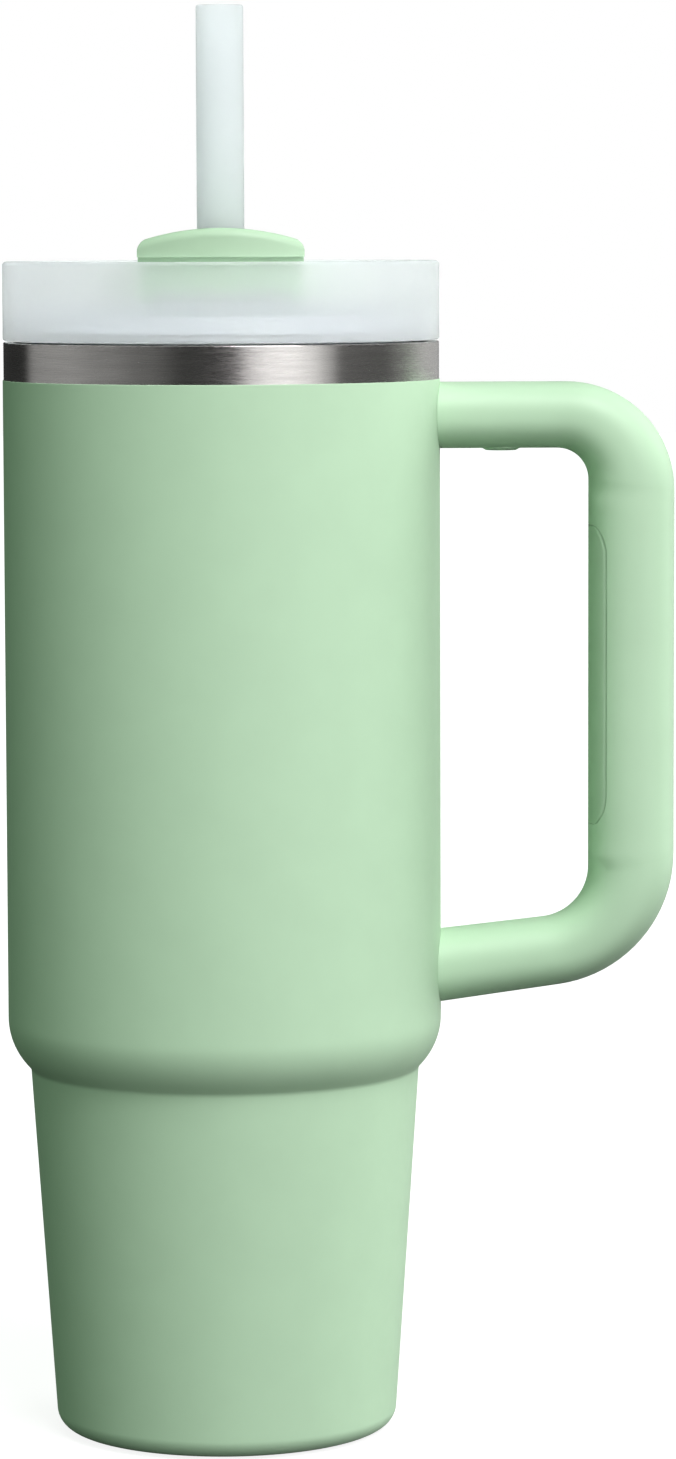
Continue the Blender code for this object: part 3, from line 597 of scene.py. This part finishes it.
def handle():
    outer = handle_edge(ARM_TOP_Z, OUT_X, OUT_TOP_R, OUT_LOW_R, LOW_OUT_Z, LOW_OUT_ANGLE)
    inner = handle_edge(ARM_LOW_Z, IN_X, IN_TOP_R, IN_LOW_R, LOW_IN_Z, LOW_IN_ANGLE)
    stations = grip_stations()
    count = len(outer)
    grip_start = ARM_STEPS + BEND_STEPS + 1
    sunk_first, sunk_last = grip_start + 3, grip_start + len(stations) - 4
    seam_angle = SEAM / GRIP_HALF_WIDTH
    fall = PAD_EDGE + [0.0] * (PAD_POINTS - 2 * len(PAD_EDGE)) + PAD_EDGE[::-1]
    rings, pad_rings = [], []
    for i in range(count):
        t = min(1.0, max(0.0, (min(i, count - 1 - i) - ARM_STEPS / 2) / (ARM_STEPS / 2 + BEND_STEPS)))
        half = ARM_HALF_WIDTH + (GRIP_HALF_WIDTH - ARM_HALF_WIDTH) * t * t * (3 - 2 * t)
        at = min(max(i - grip_start, 0), len(stations) - 1)
        reach = pad_reach(stations[at]) if grip_start <= i < grip_start + len(stations) else PAD_HALF
        sunk = sunk_first <= i <= sunk_last
        depth = PAD_DEPTH if sunk else 0.0
        ring = [section(outer[i], inner[i], half, a)
                for a in np.linspace(reach - math.pi, math.pi - reach, LOOP_POINTS)]
        ring += [section(outer[i], inner[i], half, a, depth)
                 for a in np.linspace(math.pi - reach + 0.01, math.pi + reach - 0.01, PAD_POINTS)]
        if min(i, count - 1 - i) == 0:
            ring = [(x + math.sqrt(BODY_R ** 2 - y * y) - BODY_R + ROOT_GAP, y, z) for x, y, z in ring]
        rings.append(ring)
        if sunk:
            inset = reach - seam_angle
            skin = [section(outer[i], inner[i], half, a, d)
                    for a, d in zip(np.linspace(math.pi - inset, math.pi + inset, PAD_POINTS), fall)]
            back = [section(outer[i], inner[i], half, a, PAD_DEPTH - PAD_GAP)
                    for a in np.linspace(math.pi + inset, math.pi - inset, PAD_BACK_POINTS)]
            pad_rings.append([(x, y, z) for x, y, z in skin + back])
    place(loft("handle_loop", rings, 40), "cup", "handle_plastic", HANDLE_FINISH, "handle_frame")
    for ring, way in ((pad_rings[0], -SEAM), (pad_rings[-1], SEAM)):
        ring[:] = [(x, y, z + way) for x, y, z in ring]
    # The pad takes the darker sage: painted shade on the inner face of the grip
    place(loft("grip_pad", pad_rings, 40), "cup", "soft_grip", SOFT_FINISH_PAINTED_SHADE, "grip_inlay")


# ---------------------------------------------------------------- lid


def lid():
    """The lid's clear outer band, the deck and threaded plug inside it, and the gasket below."""
    band_in = LID_R - BAND_WALL
    outline = [(band_in + 0.7, SEAT_Z), (band_in + 0.7, BAND_LOW_Z, 0.3), (LID_R, BAND_LOW_Z, 0.55),
               (LID_R, LID_TOP_Z, 0.9), (band_in, LID_TOP_Z, 0.7), (band_in, SEAT_Z)]
    place(lathe("lid_band", fillet(outline, 8)), "lid", "frosted_plastic", BAND_FINISH, "lid_body")

    under = DECK_Z - DECK_T
    plug_in = PLUG_R - PLUG_WALL
    outline = [(0.0, under), (plug_in, under, 1.2), (plug_in, PLUG_LOW_Z, 0.5),
               (PLUG_R, PLUG_LOW_Z, 0.7), (PLUG_R, SEAT_Z, 0.2), (band_in - SKIN_GAP, SEAT_Z),
               (band_in - SKIN_GAP, TROUGH_Z + 0.7), (band_in - 0.3, TROUGH_Z, 0.3),
               (PLUG_R, TROUGH_Z, 0.7),
               (PLUG_R, DECK_Z, 0.8), (0.0, DECK_Z)]
    deck = lathe("lid_deck", fillet(outline, 8))
    low, high = DECK_Z - 8, DECK_Z + 8
    hole_r, hole_top_r = STRAW_R + STRAW_HOLE_ROOM, STRAW_R + STRAW_HOLE_TOP_ROOM
    straw_hole = lathe("straw_hole", [(0, low), (hole_r, low), (hole_r, DECK_Z - 0.5),
                                      (hole_top_r, DECK_Z + 0.2), (hole_top_r, high), (0, high)],
                       SMALL_ROUND, (0, STRAW_Y))
    stem_hole = lathe("stem_hole", [(0, low), (STEM_HOLE_R, low), (STEM_HOLE_R, DECK_Z - 0.4),
                                    (STEM_HOLE_TOP_R, DECK_Z + 0.3), (STEM_HOLE_TOP_R, high), (0, high)],
                      SMALL_ROUND)
    drink = sector_cutter("drink_hole", DRINK_IN_R, DRINK_OUT_R, math.pi / 2, DRINK_HALF,
                          DECK_Z - 6, DECK_Z)
    cut(deck, [straw_hole, stem_hole, drink])
    place(deck, "lid", "frosted_plastic", LID_FINISH, "lid_body")
    ribs = threads("lid_thread", PLUG_R - 0.8, LID_CREST_R, THREAD_Z - THREAD_DROP)
    place(ribs, "lid", "frosted_plastic", LID_FINISH, "lid_body")

    seal_in = PLUG_R + 0.4
    ring = [(seal_in, gasket_low.z, 0.4), (gasket_high.x, gasket_low.z, 0.4),
            (gasket_high.x, gasket_high.z, 0.4), (seal_in, gasket_high.z, 0.4)]
    seal = lathe("rim_gasket", fillet(ring, 5))
    place(seal, "lid_lift", "silicone", SILICONE_FINISH, "lid_gasket")


def sector_cutter(name, in_r, out_r, middle, half, low, surface):
    """Curved slot with rounded ends about the axis, and a small chamfer where it meets a surface."""
    rings = []
    for z, grow in ((low, 0.0), (surface - 0.5, 0.0), (surface + 0.1, DRINK_CHAMFER),
                    (surface + 8, DRINK_CHAMFER)):
        a, b = in_r - grow, out_r + grow
        corner = DRINK_CORNER_R + grow
        ring = []
        for r, ends in ((b, (-1, 1)), (a, (1, -1))):
            angles = np.linspace(ends[0], ends[1], 17) * (half + grow / out_r)
            for u in angles:
                slack = max(0.0, corner - (half + grow / out_r - abs(u)) * r)
                pull = corner - math.sqrt(max(0.0, corner ** 2 - slack ** 2))
                rr = r - pull if r == b else r + pull
                ring.append((rr * math.cos(middle + u), rr * math.sin(middle + u), z))
        rings.append(ring)
    return loft(name, rings)


# ---------------------------------------------------------------- rotary cover


def cover_height(x, y):
    """Height of the bar's arched top, rounded down at its edges."""
    arch = COVER_TOP_Z - (COVER_ARCH_R - math.sqrt(COVER_ARCH_R ** 2 - x ** 2))
    inside = min(COVER_HALF - abs(x), COVER_END_R - math.hypot(x, y))
    short = max(0.0, COVER_EDGE_R - inside)
    return arch - (COVER_EDGE_R - math.sqrt(max(0.0, COVER_EDGE_R ** 2 - short ** 2)))


def plan_grid(half, end_r, columns, rows):
    """Plan of a bar with straight sides and round ends, as a grid that is finer at its edges."""
    grid = []
    for i in range(columns + 1):
        x = half * math.sin(math.pi / 2 * (2 * i / columns - 1))
        reach = math.sqrt(end_r ** 2 - x ** 2)
        grid.append([(x, reach * math.sin(math.pi / 2 * (2 * j / rows - 1))) for j in range(rows + 1)])
    return grid


def grid_edge(columns, rows):
    """Places of a grid's outline, going round once."""
    return ([(i, 0) for i in range(columns)] + [(columns, j) for j in range(rows)]
            + [(i, rows) for i in range(columns, 0, -1)] + [(0, j) for j in range(rows, 0, -1)])


def straw_slot(name, low, high):
    """Cutter for the cover's slot: round the straw, then open to the cover's left side."""
    reach = abs(STRAW_Y)
    half = STRAW_R + SLOT_ROOM
    front = math.radians(-90)
    rings = []
    for z in (low, high):
        ring = [(half * math.cos(a), STRAW_Y + half * math.sin(a), z)
                for a in np.linspace(front, math.pi / 2, 33)]
        ring += [((reach - half) * math.cos(a), (reach - half) * math.sin(a), z)
                 for a in np.linspace(front, SLOT_MOUTH, 33)[1:]]
        ring += [((reach + half) * math.cos(a), (reach + half) * math.sin(a), z)
                 for a in np.linspace(SLOT_MOUTH, front, 33)[:-1]]
        rings.append(ring)
    return loft(name, rings)


def cover():
    columns, rows = 56, 96
    full = plan_grid(COVER_HALF, COVER_END_R, columns, rows)
    narrow = plan_grid(COVER_HALF - NECK_SIDE_INSET, COVER_END_R - NECK_INSET, columns, rows)
    edge = grid_edge(columns, rows)
    verts, faces = [], []

    def sheet(grid, height):
        start = len(verts)
        verts.extend((x, y, height(x, y)) for line in grid for x, y in line)
        return lambda i, j: start + i * (rows + 1) + j

    def loop(grid, z):
        start = len(verts)
        verts.extend((*grid[i][j], z) for i, j in edge)
        return list(range(start, start + len(edge)))

    top = sheet(full, cover_height)
    low = sheet(narrow, lambda x, y: COVER_LOW_Z)
    for surface in (top, low):
        for i in range(columns):
            for j in range(rows):
                faces.append((surface(i, j), surface(i + 1, j), surface(i + 1, j + 1), surface(i, j + 1)))
    ladder = [[low(i, j) for i, j in edge], loop(narrow, COVER_STEP_Z + 0.05),
              loop(full, COVER_STEP_Z + 0.1), loop(full, COVER_STEP_Z + 0.3),
              [top(i, j) for i, j in edge]]
    for a, b in zip(ladder, ladder[1:]):
        for k in range(len(edge)):
            faces.append((a[k - 1], a[k], b[k], b[k - 1]))
    bar = new_object("cover_bar", verts, faces)
    cut(bar, [straw_slot("slot", COVER_LOW_Z - 2, COVER_TOP_Z + 3)])
    place(bar, "cover", "cover_plastic", COVER_FINISH, "rotary_cover")


def straw():
    low, high = straw_low.z, straw_high.z
    outline = [(STRAW_BORE_R, low, 0.3), (STRAW_R, low, 0.3), (STRAW_R, high, 0.45),
               (STRAW_BORE_R, high, 0.45)]
    tube = lathe("straw_tube", fillet(outline, 6), SMALL_ROUND, (0, STRAW_Y))
    place(tube, "straw", "straw_plastic", STRAW_FINISH, "straw")


# ---------------------------------------------------------------- carried-over pieces

CARRIED = {
    "outer_base": LINER_STEEL, "vacuum_seal": GLASS_FINISH, "getter_holder": LINER_STEEL,
    "getter": GETTER_FINISH, "upper_bracket": LINER_STEEL, "lower_bracket": LINER_STEEL,
    "upper_screw": LINER_STEEL, "lower_screw": LINER_STEEL, "upper_screw_plug": SOFT_FINISH_PAINTED_SHADE,
    "lower_screw_plug": SOFT_FINISH_PAINTED_SHADE, "straw_seal": SILICONE_FINISH,
    "cover_seal": SILICONE_FINISH, "stem_o_ring": SILICONE_FINISH, "cover_retainer": LID_FINISH,
}


def carried():
    """CAD nodes that stay as they are, with a finish of their own."""
    for name, finish in CARRIED.items():
        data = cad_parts[name].data
        data.materials.clear()
        data.materials.append(finish)


# ---------------------------------------------------------------- stage

KEY_WHITE = (1.0, 0.985, 1.0)
HIGH_WHITE = (1.0, 0.95, 1.0)
GREEN_BOUNCE = (0.73, 1.0, 0.76)  # tint of the ambient light and the fill
LIGHT_AIM = (0, 0, 0.1)
LIGHTS = (                       # azimuth, elevation, distance, size, power, colour, seen in gloss
    ("key", 26, 8, 3.2, (2.0, 2.0), 41.0, KEY_WHITE, False),
    ("high_key", 30, 52, 3.2, (1.7, 1.7), 84.0, HIGH_WHITE, True),
    ("side", 112, 12, 3.2, (1.8, 2.2), 70.0, KEY_WHITE, False),
    ("fill", -60, 15, 2.6, (1.5, 1.8), 2.0, GREEN_BOUNCE, False),
)
STUDIO_WALLS = (                 # azimuth and brightness of what glossy surfaces reflect
    (-180, 0.03), (-126, 0.03), (-118, 0.36), (-90, 0.39), (-64, 0.28), (-40, 0.17), (-19, 0.05),
    (8, 0.035), (16, 0.66), (25, 1.02), (36, 1.15), (48, 1.08), (59, 0.6), (65, 0.14), (96, 0.12),
    (110, 0.24), (136, 0.6), (160, 0.5), (180, 0.03),
)
WALL_GAIN = 2.0                  # the ramp holds the walls' brightness divided by this
AMBIENT_LOW, AMBIENT_HIGH = 0.02, 0.395
HORIZON = 0.25                   # the ambient light changes between this far below and above level
FLOOR_Z_TOP, FLOOR_T, FLOOR_R = -0.4, 2.0, 6000
FLOOR_NEAR, FLOOR_FAR = 0.87, 1.0
FLOOR_FADE = (0.15, 1.2)         # metres from the axis
CAMERA = dict(distance=1178.1, height=266.4, pitch=0.0927, yaw=0.0217, roll=-0.0035, lens=130.898)


def area_light(name, azimuth, elevation, distance, size, power, colour):
    """Soft box. Azimuth 0 is on the camera's side and positive to the right."""
    a, e = math.radians(azimuth), math.radians(elevation)
    back = Vector((math.sin(a) * math.cos(e), -math.cos(a) * math.cos(e), math.sin(e)))
    position = Vector(LIGHT_AIM) + back * distance
    data = bpy.data.lights.new(name, "AREA")
    data.shape = "RECTANGLE"
    data.size, data.size_y = size
    data.energy = power
    data.color = colour
    lamp = bpy.data.objects.new(name, data)
    facing = (-back).to_track_quat("-Z", "Y").to_matrix().to_4x4()
    lamp.matrix_world = Matrix.Translation(position) @ facing
    bpy.context.scene.collection.objects.link(lamp)
    return lamp


def place_camera(scene):
    """Camera at the front, turned a little down and aside. Its lens is for a 36 mm sensor."""
    camera_data = bpy.data.cameras.new("camera")
    camera_data.sensor_width = 36.0
    camera_data.lens = CAMERA["lens"]
    camera_data.clip_start, camera_data.clip_end = 0.01, 50.0
    camera = bpy.data.objects.new("camera", camera_data)
    turn = (Matrix.Rotation(-CAMERA["yaw"], 4, "Z")
            @ Matrix.Rotation(math.pi / 2 - CAMERA["pitch"], 4, "X")
            @ Matrix.Rotation(CAMERA["roll"], 4, "Z"))
    camera.matrix_world = Matrix.Translation((0, -CAMERA["distance"] * MM, CAMERA["height"] * MM)) @ turn
    scene.collection.objects.link(camera)
    scene.camera = camera


def stage():
    scene = bpy.context.scene
    scene.view_settings.view_transform = "Standard"
    place_camera(scene)
    scene.world = studio_world()
    for name, azimuth, elevation, distance, size, power, colour, glossy in LIGHTS:
        lamp = area_light(name, azimuth, elevation, distance, size, power, colour)
        lamp.visible_glossy = glossy
        lamp.visible_transmission = False

    floor_material = Nodes("pale_floor").put(Roughness=0.9, Base_Color=(0.25, 0.25, 0.25),
                                             Emission_Color=(1.0, 1.0, 1.0))
    floor_material.link(floor_glow(floor_material), floor_material.shader.inputs["Emission Strength"])
    floor_low = FLOOR_Z_TOP - FLOOR_T
    floor = lathe("floor", [(0, FLOOR_Z_TOP), (FLOOR_R, FLOOR_Z_TOP), (FLOOR_R, floor_low),
                            (0, floor_low)], 96)
    floor.data.materials.append(floor_material.material)
    floor.visible_diffuse = False
    floor.visible_glossy = False


def floor_glow(m):
    """A lit sweep: a little less bright round the mug, so that its shadow shows, and white beyond."""
    split = m.tree.nodes.new("ShaderNodeSeparateXYZ")
    m.link(m.place, split.inputs[0])
    across = m.math("ADD", m.math("POWER", split.outputs["X"], 2.0),
                    m.math("POWER", split.outputs["Y"], 2.0))
    return m.spread(m.math("SQRT", across), FLOOR_NEAR, FLOOR_FAR, *FLOOR_FADE)


def studio_world():
    """White backdrop behind the mug, soft ambient light on it, and walls that glossy surfaces reflect."""
    world = bpy.data.worlds.new("studio")
    world.use_nodes = True
    tree = world.node_tree

    def node(kind, *sources, **settings):
        """A node with its settings and, in order, its sources: a value, or another node's output."""
        made = tree.nodes.new("ShaderNode" + kind)
        for name, value in settings.items():
            setattr(made, name, value)
        for socket, source in zip(made.inputs, sources):
            if isinstance(source, bpy.types.NodeSocket):
                tree.links.new(source, socket)
            else:
                socket.default_value = source
        return made

    split = node("SeparateXYZ", node("TexCoord").outputs["Generated"])

    # Azimuth from -180 to 180 degrees, 0 on the camera's side, as 0 to 1
    flip = node("Math", split.outputs["Y"], -1.0, operation="MULTIPLY")
    turn = node("Math", split.outputs["X"], flip.outputs[0], operation="ARCTAN2")
    span = node("MapRange", turn.outputs[0], -math.pi, math.pi)
    walls = node("ValToRGB", span.outputs["Result"])
    walls.color_ramp.interpolation = "EASE"
    stops = walls.color_ramp.elements
    while len(stops) < len(STUDIO_WALLS):
        stops.new(0.5)
    for stop, (azimuth, bright) in zip(stops, STUDIO_WALLS):
        stop.position = (azimuth + 180) / 360
        grey = bright / WALL_GAIN
        stop.color = (grey, grey, grey, 1.0)

    height = node("MapRange", split.outputs["Z"], -HORIZON, HORIZON, AMBIENT_LOW, AMBIENT_HIGH)
    ambient = node("Background", (*GREEN_BOUNCE, 1.0), height.outputs["Result"])
    mirrored = node("Background", walls.outputs["Color"], WALL_GAIN)
    backdrop = tree.nodes["Background"]
    backdrop.inputs["Color"].default_value = (1, 1, 1, 1)

    rays = node("LightPath")
    through = node("Math", rays.outputs["Is Camera Ray"], rays.outputs["Is Transmission Ray"],
                   operation="MAXIMUM")
    shine = node("MixShader", rays.outputs["Is Glossy Ray"], ambient.outputs[0], mirrored.outputs[0])
    final = node("MixShader", through.outputs[0], shine.outputs[0], backdrop.outputs[0])
    tree.links.new(final.outputs[0], tree.nodes["World Output"].inputs["Surface"])
    return world


vessel()
handle()
lid()
cover()
straw()
carried()
stage()
